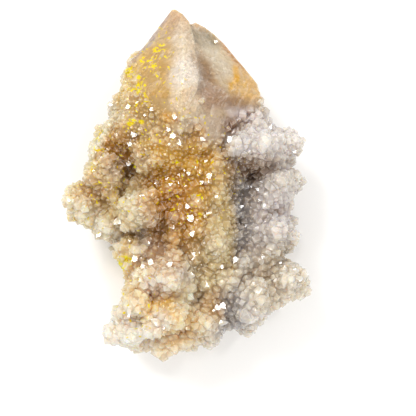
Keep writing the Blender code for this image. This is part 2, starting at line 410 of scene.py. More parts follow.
def rounded_outline(outline, rounds=2):
    """Cuts the corners of a closed outline: each side keeps its points at a quarter and three quarters."""
    points = np.array(outline)
    for _ in range(rounds):
        after = np.roll(points, -1, axis=0)
        pairs = np.stack([0.75 * points + 0.25 * after, 0.25 * points + 0.75 * after], axis=1)
        points = pairs.reshape(-1, points.shape[1])
    return points


def growth_layer():
    """A plate on the large point's faces: rings of the outline sunk, at the rim and inset, and a middle
    point. Its rise over the face runs evenly from its left side to the ledge on its right."""
    outline = rounded_outline([on_stone(pixel) for pixel in LAYER_OUTLINE])[::-1]
    n = len(outline)
    middle = outline.mean(axis=0)
    across = (outline[:, 0] - outline[:, 0].min()) / np.ptp(outline[:, 0])
    rise = LAYER_RISE[0] + (LAYER_RISE[1] - LAYER_RISE[0]) * across
    inset = outline + at_level(unit((middle - outline)[:, :2]) * LAYER_INSET, 0)
    up = np.array([0, 0, 1.0])
    at_rim = outline + (rise * RIM_SHARE)[:, None] * up
    rings = [outline - LAYER_SUNK * up, at_rim, inset + rise[:, None] * up]
    face_height = whole_tree.ray_cast(Vector((*middle[:2] * MM, 1)), Vector((0, 0, -1)))[0][2] / MM
    top = middle + up * (face_height - middle[2])
    points = np.vstack(rings + [top + rise.mean() * up, middle - LAYER_SUNK * up]) * MM
    k = np.arange(n)
    after = (k + 1) % n
    lid = np.column_stack([k + 2 * n, after + 2 * n, np.full(n, 3 * n)])
    base = np.column_stack([after, k, np.full(n, 3 * n + 1)])
    print("growth layer rises", LAYER_RISE[0], "to", LAYER_RISE[1], "mm")
    return mesh_object("growth_layer", points, [walls_between(n, 3), lid, base])


# %% [markdown]
# A step runs down between the two points. The CAD model has it straight, and on the stone its edge curves.
# What stood to the right of the curve is cut away, down to the large face of the second point.

# %% The ledge between the points
LEDGE = [(186, 5), (190, 22), (194, 36), (195, 52), (198, 62), (199.5, 70), (199.5, 80), (197.5, 92)]
LEDGE += [(193, 103), (190, 112)]
LEDGE_HEIGHT = 23
BEYOND_LEDGE = [(222, 112), (222, 60), (214, 40), (230, 5)]
# the second point's large face: its normal, and its distance from the origin in mm
LOWER_FACE = ((0.424, 0.534, 0.732), 30.03)
BELOW_ALL = -5
ABOVE_ALL = 60


def lower_face_height(outline):
    """Where the plane normal . (x, y, z) = distance lies over each (x, y) corner."""
    normal, distance_out = LOWER_FACE
    return (distance_out - outline @ np.array(normal[:2])) / normal[2]


def ledge_cutter():
    """An upright form over all that lies right of the ledge. Its floor is the plane of the lower face."""
    outline = outline_at(LEDGE + BEYOND_LEDGE, LEDGE_HEIGHT)
    rings = [at_level(outline, lower_face_height(outline)), at_level(outline, ABOVE_ALL)]
    return closed_stack("ledge_cutter", rings)


# %% [markdown]
# The second point ends in a rounded shoulder on its right. The CAD model has straight edges there, so the
# shoulder is added: its outline follows the photograph, its top lies in the plane of the lower face, and its
# wall slopes back underneath.

# %% The right shoulder
SHOULDER_OUTER = [(191, 24), (195.5, 21.2), (204.6, 25.7), (213.7, 32.4), (224, 42.5), (231, 51.5)]
SHOULDER_OUTER += [(238.5, 61), (250, 75), (257.5, 85), (259, 97)]
SHOULDER_INNER = [(240, 100), (225, 75), (205, 45), (195, 34)]
SHOULDER_HEIGHT = 16.0
SHOULDER_BEVEL = 0.35
BEVEL_SLOPE = 1.6
SHOULDER_DOWN_TO = 7.0
SHOULDER_TAPER = 0.35


def right_shoulder():
    """Three rings on one outline. The top one lies in the plane of the lower face and is drawn in for a
    bevel, and the lowest one is drawn in so that the wall slopes back."""
    outer = outline_at(SHOULDER_OUTER, SHOULDER_HEIGHT)
    inner = outline_at(SHOULDER_INNER, SHOULDER_HEIGHT)
    outline = np.vstack([outer, inner])[::-1]
    middle = inner.mean(axis=0)
    away = outline - middle
    top = outline - unit(away) * SHOULDER_BEVEL
    height = lower_face_height(top)
    rings = [
        at_level(middle + away * (1 - SHOULDER_TAPER), SHOULDER_DOWN_TO),
        at_level(outline, height - SHOULDER_BEVEL * BEVEL_SLOPE),
        at_level(top, height),
    ]
    return closed_stack("right_shoulder", rings)


# %% [markdown]
# The ground is all that the crust grows on. The core is rounded everywhere, so a crisp front and a crisp
# foot are cut out of the welded copy and joined to it: the front keeps the flat faces of the points, and the
# foot keeps the flat underside.

# %% The ground
FRONT_OVERLAP = 7
FRONT_HEIGHT = 24
FRONT_BEYOND = [(20, 50), (-16, 50)]
FOOT_OUTLINE = [(-40, -50), (40, -50), (40, 50), (-40, 50)]
FOOT_TO = 1.6

front_outline = outline_at([(x, y + FRONT_OVERLAP) for x, y in BARE_LINE], FRONT_HEIGHT)
front_outline = np.vstack([front_outline, FRONT_BEYOND])
front_limit = [at_level(front_outline, BELOW_ALL), at_level(front_outline, ABOVE_ALL)]
front = part_of_whole("front", closed_stack("front_limit", front_limit))
foot_limit = [at_level(FOOT_OUTLINE, BELOW_ALL), at_level(FOOT_OUTLINE, FOOT_TO)]
foot = part_of_whole("foot", closed_stack("foot_limit", foot_limit))
ground = joined("ground", core_points, core_triangles, [front, foot, growth_layer(), right_shoulder()])
cutter = ledge_cutter()
boolean(ground, cutter, "DIFFERENCE")
finished(ground)
bpy.data.objects.remove(cutter)
ground_points, ground_triangles = arrays_of(ground.data)
ground_tree = BVHTree.FromPolygons(ground_points.tolist(), ground_triangles.tolist())
bpy.data.objects.remove(ground)
print("ground", len(ground_triangles), "triangles", round(time.time() - STARTED, 1), "s")

# %% [markdown]
# Crystals of a crust stand close together but not on top of each other, and their size changes across the
# stone: fine in the stained valley, coarser on the lobes at the lower left and right. Zones read off the
# photograph give the mean size at each place.

# %% Sizes of the crust crystals
SEED = 7
USUAL_RADIUS = 1.0
UNDERSIDE_RADIUS = 1.2
RADIUS_SPREAD = 0.32
SMALLEST = 0.36
LARGEST = 1.3
BACKGROUND_WEIGHT = 0.05
UNDERSIDE_FROM = 0.3
SIZE_ZONES = [
    # middle and reach in pixels of the photograph, radius in mm
    ((172, 160), 32, 0.62),
    ((180, 215), 30, 0.76),
    ((215, 235), 26, 0.84),
    ((138, 112), 28, 0.62),
    ((130, 75), 18, 0.58),
    ((105, 165), 28, 0.84),
    ((140, 205), 22, 1.05),
    ((105, 225), 26, 1.12),
    ((255, 135), 34, 0.98),
    ((275, 200), 30, 1.05),
    ((238, 195), 20, 0.84),
    ((275, 280), 34, 1.08),
    ((165, 270), 30, 1.02),
    ((145, 325), 40, 1.20),
    ((207, 318), 25, 1.10),
]


def radius_at(places, normals):
    """The mean crystal radius in mm: each zone's radius, weighted by a bell curve of the distance from it. It
    grows towards the underside, where fewer and larger crystals have room."""
    xy = pixels_of(places)[:, None]
    centre = np.array([zone[0] for zone in SIZE_ZONES])
    reach = np.array([zone[1] for zone in SIZE_ZONES])
    radius = np.array([zone[2] for zone in SIZE_ZONES])
    weight = np.exp(-np.sum((xy - centre) ** 2, axis=2) / reach**2)
    above = (weight @ radius + BACKGROUND_WEIGHT * USUAL_RADIUS) / (weight.sum(axis=1) + BACKGROUND_WEIGHT)
    below = np.clip(UNDERSIDE_FROM - normals[:, 2], 0, 1)
    return above + below * (UNDERSIDE_RADIUS - above)


# %% [markdown]
# The places are found as a mineral might: many seeds are scattered at random, each with a size, and a seed
# only survives if no earlier one stands too close. Laying them out on a grid would be quicker and would
# show.

# %% Places of the crust crystals
CANDIDATES = 90000
SPACING = 0.58
OUTWARD_CELL = 3.0
OWN_NORMAL_SHARE = 0.55
TURNED_ASIDE = 0.17
rng = np.random.default_rng(SEED)


def scattered(points, triangles, count):
    """Random points on a mesh: corner a plus s(b-a) plus t(c-a), with s and t folded into the triangle."""
    normal, area, _ = triangle_facts(points, triangles)
    which = rng.choice(len(triangles), count, p=area / area.sum())
    s, t = rng.random((2, count))
    outside = s + t > 1
    s[outside], t[outside] = 1 - s[outside], 1 - t[outside]
    a, b, c = (points[triangles[which, k]] for k in range(3))
    return a + s[:, None] * (b - a) + t[:, None] * (c - a), normal[which]


def outward_at(places, normals):
    """Which way a crystal grows: its own surface normal mixed with the mean normal of the cell around it."""
    cell = np.floor(places / (OUTWARD_CELL * MM)).astype(int)
    _, index = np.unique(cell, axis=0, return_inverse=True)
    index = index.ravel()
    mean = np.column_stack([np.bincount(index, normals[:, k]) for k in range(3)])[index]
    aside = rng.normal(0, TURNED_ASIDE, places.shape)
    return unit(OWN_NORMAL_SHARE * normals + (1 - OWN_NORMAL_SHARE) * unit(mean) + aside)


def tree_of(places):
    """A tree that finds the places near a point."""
    tree = KDTree(len(places))
    for k, place in enumerate(places):
        tree.insert(place, k)
    tree.balance()
    return tree


def spaced(places, radii, spacing):
    """Numbers of the places that survive: each in turn removes the later ones within spacing x both radii."""
    tree = tree_of(places)
    gone = np.zeros(len(places), bool)
    kept = []
    widest = radii.max()
    for k in range(len(places)):
        if gone[k]:
            continue
        kept.append(k)
        for _, near, gap in tree.find_range(places[k], spacing * (radii[k] + widest) * MM):
            if gap < spacing * (radii[k] + radii[near]) * MM:
                gone[near] = True
    return np.array(kept)


places, normals = scattered(ground_points, ground_triangles, CANDIDATES)
growing = ~is_bare(places)
places, normals = places[growing], normals[growing]
spread = rng.lognormal(0, RADIUS_SPREAD, len(places))
radii = np.clip(radius_at(places, normals) * spread, SMALLEST, LARGEST)
kept = spaced(places, radii, SPACING)
places, normals, radii = places[kept], normals[kept], radii[kept]
axes = outward_at(places, normals)

print("crust crystals", len(places), round(time.time() - STARTED, 1), "s")

# %% [markdown]
# Two hollows between the knobs reach deeper in the CAD model than they look in the photograph, and would
# show as black holes. One more crystal of the largest size stands in each, a little below the mean height of
# its rim.

# %% Crystals in the hollows
HOLLOWS = [(130, 167), (251, 177)]
RIM_PIXELS = 8
BELOW_RIM = 3.0

for across, down in HOLLOWS:
    around = [(across + i * RIM_PIXELS, down + j * RIM_PIXELS) for i, j in ((1, 0), (0, 1), (-1, 0), (0, -1))]
    rim = [on_stone(pixel)[2] for pixel in around]
    places = np.vstack([places, at_height((across, down), np.mean(rim) - BELOW_RIM) * MM])
    axes = np.vstack([axes, [0.0, 0.0, 1.0]])
    radii = np.append(radii, LARGEST)
    print("hollow", round(float(on_stone((across, down))[2]), 1), "mm, rim", np.round(rim, 1))

# %% [markdown]
# One quartz crystal is a six-sided column that ends in six sloping faces. Three of those are usually larger
# than the other three, and the tip is hardly ever in the middle. Here all crystals are worked out at once: a
# profile of three levels (buried end, shoulder, tip) is carried up each axis, with six corners round it.

# %% Crystals
SIDES = 6
BURIED = 1.3
BURIED_REACH = 0.72
CORNER_SPREAD = 0.07
SHOULDER_SPREAD = 0.1
TIP_OFF_CENTRE = 0.24
TIP_SPREAD = 0.6
INSIDE_BOX = 0.02
CRUST_SHAPE = {"shoulder": (-0.2, 0.04), "tip": (0.58, 0.92), "threefold": 0.14, "relief": 0.6}


def crystal_arrays(feet, axes, radii, shoulder, tip, threefold, relief):
    """Points (n, 13, 3) of n crystals. Corner k of a level stands at
    foot + axis x rise + reach x (cos(angle k) side + sin(angle k) other side), and the last point is the tip.
    The shoulder's and the tip's rise are ranges in radii, and relief scales how uneven the shoulder is."""
    n = len(feet)
    upright = np.where(np.abs(axes[:, 2:]) < 0.9, [[0.0, 0.0, 1.0]], [[1.0, 0.0, 0.0]])
    side = unit(np.cross(axes, upright))
    other = np.cross(axes, side)
    size = radii[:, None] * MM
    angle = rng.uniform(0, 2 * np.pi, (n, 1)) + np.arange(SIDES) * 2 * np.pi / SIDES
    third = threefold * (-1.0) ** np.arange(SIDES)
    reach = size * (1 + third + rng.normal(0, CORNER_SPREAD, (n, SIDES)))
    way = np.cos(angle)[..., None] * side[:, None] + np.sin(angle)[..., None] * other[:, None]
    level = size * rng.uniform(*shoulder, (n, 1))
    rise = level - size * relief * (2 * third + rng.normal(0, SHOULDER_SPREAD, (n, SIDES)))
    lift = axes[:, None, :]
    buried = feet[:, None] - lift * size[..., None] * BURIED + way * (reach * BURIED_REACH)[..., None]
    upper = feet[:, None] + lift * rise[..., None] + way * reach[..., None]
    off = TIP_OFF_CENTRE * rng.normal(0, TIP_SPREAD, (2, n, 1))
    top_rise = level + size * rng.uniform(*tip, (n, 1))
    top = feet + axes * top_rise + size * (off[0] * side + off[1] * other)
    return np.concatenate([buried, upper, top[:, None]], axis=1)


def kept_in_box(points):
    """Slides each crystal back as far as its points reach past the CAD model's box."""
    low, high = (np.array(corner) for corner in cad_box)
    low = low + INSIDE_BOX * MM * np.array([1, 1, 0])
    high = high - INSIDE_BOX * MM
    over = np.maximum(points - high, 0).max(axis=1) - np.maximum(low - points, 0).max(axis=1)
    return points - over[:, None]


def crystal_object(name, points, grains, facets):
    """One mesh of separate crystals. Each has an end, six sides and six tip faces."""
    n = len(points)
    first = (np.arange(n) * points.shape[1])[:, None]
    k = np.arange(SIDES)
    after = (k + 1) % SIDES
    side = np.stack([k, after, after + SIDES, k + SIDES], axis=1)
    tip = np.stack([k + SIDES, after + SIDES, np.full(SIDES, 2 * SIDES)], axis=1)
    ends = first + k[::-1]
    sides = (first[..., None] + side).reshape(-1, 4)
    tips = (first[..., None] + tip).reshape(-1, 3)
    own = np.repeat(grains, SIDES)
    numbers = {
        "grain": np.concatenate([grains, own, own]),
        "facet": np.concatenate([part.ravel() for part in np.split(facets, [1, 1 + SIDES], axis=1)]),
    }
    return mesh_object(name, points.reshape(-1, 3), [ends, sides, tips], numbers)


def groups_apart(points):
    """A group for each crystal, so that no two in a group can touch: the first that no neighbour has."""
    centre = points.mean(axis=1)
    reach = np.linalg.norm(points - centre[:, None], axis=2).max(axis=1)
    tree = tree_of(centre)
    group = np.full(len(points), -1)
    widest = reach.max()
    for k in range(len(points)):
        near = tree.find_range(centre[k], reach[k] + widest)
        taken = {group[j] for _, j, gap in near if gap < reach[k] + reach[j]}
        group[k] = next(g for g in range(len(points)) if g not in taken)
    return group


crust = kept_in_box(crystal_arrays(places, axes, radii, **CRUST_SHAPE))
print("crust radii in mm", np.percentile(radii, [5, 50, 95]).round(2))

# %% [markdown]
# In most crystals one face of the tip is larger than the rest. Where such a face happens to mirror a lamp
# into the camera, the crust sparkles. Chance alone would give fewer sparkles than the photograph shows, so
# some crystals are turned to give one: the tip's corners are laid in a plane whose normal is halfway between
# the way to the lamp and the way to the camera.

# %% Sparkling crystals
# where the main light hangs, in m
KEY_LIGHT = np.array([-0.25, 0.30, 0.50])
# pixel of the photograph and radius in mm
SPARKLES_PLACED = [((190, 218), 0.85), ((210, 175), 0.62), ((222, 305), 0.7), ((138, 94), 0.7)]
SPARKLES_PLACED += [((134, 171), 0.5), ((119, 220), 0.75), ((116, 246), 0.8), ((188, 206), 0.5)]
SPARKLES_PLACED += [((258, 176), 0.6), ((244, 185), 0.5), ((232, 142), 0.7), ((236, 260), 0.7)]
SPARKLES_PLACED += [((262, 199), 0.6), ((158, 183), 0.5), ((215, 43), 0.36)]
SPARKLES_BY_CHANCE = 60
SPARKLE_RADII = (0.3, 0.62)
SPARKLE_JITTER = 0.045
SPARKLE_RISE = (0.35, 0.8)
SPARKLE_CLEARANCE = 0.35
FACING_UP = 0.35
TURNED_UP = 0.5


def turned_to_sparkle(points, feet, axes, radii):
    """Moves a crystal's seven upper points along its axis into the plane through a point above its foot whose
    normal is halfway between lamp and camera: each goes by (plane point - point).normal / axis.normal."""
    to_lamp = unit(KEY_LIGHT - feet)
    to_camera = unit(np.array(camera.location) - feet)
    normal = unit(unit(to_lamp + to_camera) + rng.normal(0, SPARKLE_JITTER, feet.shape))
    clear = radii * rng.uniform(*SPARKLE_RISE, len(feet)) + SPARKLE_CLEARANCE * radius_at(feet, axes)
    above = feet + axes * (clear * MM)[:, None]
    upper = points[:, SIDES:]
    steps = np.einsum("nkc,nc->nk", above[:, None] - upper, normal)
    steps = steps / np.einsum("nc,nc->n", axes, normal)[:, None]
    points[:, SIDES:] = upper + steps[..., None] * axes[:, None]
    return points


def placed_sparkles():
    """Feet, normals and radii of the chosen sparkles, whose feet are where camera rays meet the ground."""
    found = []
    for pixel, radius in SPARKLES_PLACED:
        foot_point, normal, _, _ = ground_tree.ray_cast(camera.location, pixel_direction(pixel))
        if foot_point is not None:
            found.append((foot_point, normal, radius))
    print("placed", len(found), "of", len(SPARKLES_PLACED))
    return [np.array(column) for column in zip(*found)]


feet, outward, sparkle_radii = placed_sparkles()
by_chance = rng.choice(np.flatnonzero(axes[:, 2] > FACING_UP), SPARKLES_BY_CHANCE, replace=False)
feet = np.vstack([feet, places[by_chance]])
outward = np.vstack([outward, axes[by_chance]])
sparkle_radii = np.concatenate([sparkle_radii, rng.uniform(*SPARKLE_RADII, SPARKLES_BY_CHANCE)])
outward = unit(outward + np.array([0, 0, TURNED_UP]))
sparkles = crystal_arrays(feet, outward, sparkle_radii, **CRUST_SHAPE)
sparkles = kept_in_box(turned_to_sparkle(sparkles, feet, outward, sparkle_radii))
print("sparkling crystals", len(sparkles))

# %% [markdown]
# The bare faces aren't quite flat. They carry growth hillocks, three-sided pyramids a few millimetres across
# and only a tenth of a millimetre high. They come out of the same crystal function, with a very low tip. A
# hillock whose corners would hang over the edge of its face is left out.

# %% Hillocks on the bare faces
HILLOCK_SEEDS = 10800
HILLOCK_RADII = (0.6, 2.2)
HILLOCK_SPACING = 0.5
HILLOCK_OVERHANG = 0.15
HILLOCK_SHAPE = {"shoulder": (-0.03, -0.01), "tip": (0.06, 0.13), "threefold": 0.28, "relief": 0.03}


def bare_places(count):
    """Random places on the points' bare faces, with their normals."""
    places, normals = scattered(ground_points, ground_triangles, count)
    chosen = is_bare(places) & (places[:, 2] > POINTS_ABOVE * MM)
    return places[chosen], normals[chosen]


def overhang_of(hillock):
    """How far the furthest corner of a hillock's rim stands away from the ground."""
    return max(ground_tree.find_nearest(Vector(corner))[3] for corner in hillock[SIDES : 2 * SIDES])


hill_places, hill_normals = bare_places(HILLOCK_SEEDS)
hill_radii = rng.uniform(*HILLOCK_RADII, len(hill_places))
kept = spaced(hill_places, hill_radii, HILLOCK_SPACING)
hillocks = crystal_arrays(hill_places[kept], hill_normals[kept], hill_radii[kept], **HILLOCK_SHAPE)
overhang = np.array([overhang_of(hillock) for hillock in hillocks])
hillocks = kept_in_box(hillocks[overhang < HILLOCK_OVERHANG * MM])
print("hillocks", len(hillocks))

# %% [markdown]
# Where the last layer grew and where the crust begins, the faces are frosted with crystals like sugar. Each
# frost zone says how large they are and what share of the places has one, which falls off towards its edge.

# %% Sugary frost
FROST_SEEDS = 60000
FROST_ZONES = [
    # middle and half sizes in pixels of the photograph, radius in mm, share of the places that grow
    ((185, 74), (12, 19), 0.26, 0.75),
    ((141, 100), (11, 14), 0.34, 0.7),
    ((155, 108), (14, 8), 0.34, 0.7),
    ((150, 66), (14, 18), 0.26, 0.15),
    ((181, 108), (14, 6), 0.3, 0.5),
]
FROST_FALL_OFF = 1.15
FROST_FACING_UP = 0.2
FROST_SPREAD = 0.25
FROST_SPACING = 0.75
FROST_SHAPE = dict(CRUST_SHAPE, shoulder=(-0.2, 0.1), tip=(0.3, 0.6))

frost_places, frost_normals = bare_places(FROST_SEEDS)
frost_pixels = pixels_of(frost_places)
frost_radii = np.zeros(len(frost_places))
for middle, half, radius, share in FROST_ZONES:
    away = np.linalg.norm((frost_pixels - middle) / np.array(half), axis=1)
    chosen = rng.random(len(away)) < share * (FROST_FALL_OFF - away)
    frost_radii[(away < 1) & chosen & (frost_normals[:, 2] > FROST_FACING_UP)] = radius
frost_radii *= rng.lognormal(0, FROST_SPREAD, len(frost_radii))
grows = frost_radii > 0
frost_places, frost_normals, frost_radii = frost_places[grows], frost_normals[grows], frost_radii[grows]
kept = spaced(frost_places, frost_radii, FROST_SPACING)
frost_axes = unit(frost_normals[kept] + rng.normal(0, TURNED_ASIDE, (len(kept), 3)))
frost = kept_in_box(crystal_arrays(frost_places[kept], frost_axes, frost_radii[kept], **FROST_SHAPE))
print("frost crystals", len(frost))

# %% [markdown]
# The material needs two random numbers for each crystal and each of its faces. A low face number stands for
# a smooth, glossy face, so sparkles get the lowest and hillocks nearly so. Then the crystals are sorted into
# groups that don't touch each other, because the fast Boolean solver needs meshes that don't cross
# themselves.

# %% Sorting into groups
SPARKLE_FACET = 0
HILLOCK_FACET = 0.1

every = np.concatenate([crust, sparkles, hillocks, frost])
grains = rng.random(len(every))
facets = rng.random((len(every), 1 + 2 * SIDES))
first_hillock = len(crust) + len(sparkles)
facets[len(crust) : first_hillock] = SPARKLE_FACET
facets[first_hillock : first_hillock + len(hillocks)] = HILLOCK_FACET
groups = groups_apart(every)
print("groups", groups.max() + 1, round(time.time() - STARTED, 1), "s")

# %% [markdown]
# The crystals join the ground group by group. The union leaves faces with many corners, some of which aren't
# quite sound, so the skin is rebuilt in triangles. Pairs of triangles that lie back to back and splinters
# that hang together with nothing else are left out on the way.

# %% Joining the crust
helpers = []
for group in range(groups.max() + 1):
    chosen = groups == group
    helpers.append(crystal_object(f"crystals_{group}", every[chosen], grains[chosen], facets[chosen]))
joined_stone = joined("joined_stone", ground_points, ground_triangles, helpers)


def largest_island(triangles, count):
    """True for the points that hang together with most others: every point takes the lowest number among its
    neighbours, and then the number that this one has taken, until nothing changes."""
    label = np.arange(count)
    while True:
        lower = label.copy()
        for one, two in ((0, 1), (1, 2), (2, 0)):
            np.minimum.at(lower, triangles[:, one], label[triangles[:, two]])
            np.minimum.at(lower, triangles[:, two], label[triangles[:, one]])
        lower = lower[lower]
        if np.array_equal(lower, label):
            return label == np.bincount(label).argmax()
        label = lower


def in_triangles(name, source):
    """A new object with the same skin in triangles, which carry the numbers of the faces that they cut up.
    Two triangles on the same three corners lie back to back, and the skin is closed without them."""
    points, triangles = arrays_of(source.data)
    face = read_out(source.data.loop_triangles, "polygon_index", kind=np.int32)
    _, which, uses = np.unique(np.sort(triangles, axis=1), axis=0, return_inverse=True, return_counts=True)
    real = uses[which.ravel()] == 1
    real &= largest_island(triangles[real], len(points))[triangles[:, 0]]
    numbers = {}
    for key in FACE_NUMBERS:
        numbers[key] = read_out(source.data.attributes[key].data, "value")[face[real]]
    print("triangles left out", np.count_nonzero(~real))
    bpy.data.objects.remove(source)
    used, renumbered = np.unique(triangles[real], return_inverse=True)
    return mesh_object(name, points[used], [renumbered.reshape(-1, 3)], numbers)


quartz = in_triangles("spirit_quartz_crust", joined_stone)
print("stone", len(quartz.data.polygons), "triangles", round(time.time() - STARTED, 1), "s")

# %% [markdown]
# The material paints shade into the hollows and the gaps between crystals, where some brown stain also lies,
# and paints light onto the crystals' tips and the tops of the knobs. Two numbers at every point of the skin
# tell the material where that is. Rise is the height above the ground in millimetres. Proud is how far the
# rounded core stands out from a much smoother copy of itself there. A third number marks the bare faces.

# %% The skin's own numbers
ON_GROUND = 0.02


def rise_of(places):
    """The distance in mm from each place to the ground."""
    return np.array([ground_tree.find_nearest(Vector(place))[3] for place in places]) / MM


fine_tree = tree_of(fine_points)
skin = read_out(quartz.data.vertices, "co", 3).astype(float)
proud = fine_proud[[fine_tree.find(point)[1] for point in skin]]
rise = rise_of(skin)
face_middles = read_out(quartz.data.polygons, "center", 3).astype(float)
bare = is_bare(face_middles) & (rise_of(face_middles) < ON_GROUND)
add_numbers(quartz.data, "proud", "POINT", proud)
add_numbers(quartz.data, "rise", "POINT", rise)
add_numbers(quartz.data, "bare", "FACE", bare)
print("proud", np.percentile(proud, [5, 50, 95]).round(2), "rise", np.percentile(rise, [5, 50, 95]).round(2))
print("bare faces", np.count_nonzero(bare), round(time.time() - STARTED, 1), "s")

# %% [markdown]
# Colours are written as the hex numbers a paint program shows and turned into the linear values that a
# shader wants. One small function adds a node, sets its values and links its inputs. The colours of the
# stone lie over each other like washes of paint, and each wash says how it mixes, where, how strongly and in
# what colour.

# %% Colours, nodes and washes


def linear(hex_colour):
    """sRGB hex to linear: c / 12.92 for the darkest values, else ((c + 0.055) / 1.055) to the power 2.4."""
    channels = [int(hex_colour[k : k + 2], 16) / 255 for k in (1, 3, 5)]
    return [c / 12.92 if c <= 0.04045 else ((c + 0.055) / 1.055) ** 2.4 for c in channels] + [1.0]


def add_node(tree, kind, inputs=None, **settings):
    """Adds a node. A socket given as an input is linked, and any other value is set."""
    node = tree.nodes.new(kind)
    for key, value in settings.items():
        setattr(node, key, value)
    for key, value in (inputs or {}).items():
        if isinstance(value, bpy.types.NodeSocket):
            tree.links.new(value, node.inputs[key])
        else:
            node.inputs[key].default_value = value
    return node


def washed(tree, colour, washes):
    """Lays washes over a colour. A wash is (blend, where, strength, colour), and where x strength of it
    shows."""
    for blend, where, strength, wash in washes:
        share = add_node(tree, "ShaderNodeMath", {0: where, 1: strength}, operation="MULTIPLY").outputs[0]
        inputs = {0: share, 6: colour, 7: wash}
        colour = add_node(tree, "ShaderNodeMix", inputs, data_type="RGBA", blend_type=blend).outputs[2]
    return colour


# %% [markdown]
# Three things say where a wash lies. The mesh's own numbers follow its shape. Blobs of noise break a colour
# up. Zones lie where the photograph has a stain: each is an upright ellipsoid with a soft edge, given by its
# place and half sizes in pixels, and worked out in millimetres so that it stays on the stone from every
# side.

# %% Numbers, blobs and zones
ZONE_HALF_HEIGHT = 45.0


def number(tree, name, low, high, to_low, to_high):
    """One of the mesh's own numbers, with low..high turned into to_low..to_high."""
    raw = add_node(tree, "ShaderNodeAttribute", attribute_name=name).outputs["Fac"]
    inputs = {"Value": raw, "From Min": low, "From Max": high, "To Min": to_low, "To Max": to_high}
    return add_node(tree, "ShaderNodeMapRange", inputs).outputs["Result"]


def blobs(tree, place, size_mm, low, high, to=(0, 1), **noise):
    """Noise whose blobs are about size_mm across, with low..high turned into the range to."""
    inputs = {"Vector": place, "Scale": 1 / (size_mm * MM)} | noise
    value = add_node(tree, "ShaderNodeTexNoise", inputs).outputs[0]
    inputs = {"Value": value, "From Min": low, "From Max": high, "To Min": to[0], "To Max": to[1]}
    return add_node(tree, "ShaderNodeMapRange", inputs).outputs["Result"]


def zone(tree, place, pixel, half_pixels, turn, softness):
    """One inside an ellipsoid, fading to nothing at its edge. Mapping puts the ellipsoid's middle at zero and
    its surface at distance one."""
    hit = whole_tree.ray_cast(camera.location, pixel_direction(pixel))[0]
    middle = at_height(pixel, OUTLINE_HEIGHT if hit is None else hit[2] / MM)
    half_sizes = [half * MM_PER_PIXEL for half in half_pixels] + [ZONE_HALF_HEIGHT]
    inputs = {
        "Vector": place,
        "Location": [c * MM for c in middle],
        "Rotation": (0, 0, math.radians(turn)),
        "Scale": [half * MM for half in half_sizes],
    }
    local = add_node(tree, "ShaderNodeMapping", inputs, vector_type="TEXTURE").outputs[0]
    away = add_node(tree, "ShaderNodeVectorMath", {0: local}, operation="LENGTH").outputs["Value"]
    inputs = {"Value": away, "From Min": 1 + softness, "From Max": 1 - softness}
    return add_node(tree, "ShaderNodeMapRange", inputs, interpolation_type="SMOOTHSTEP").outputs["Result"]
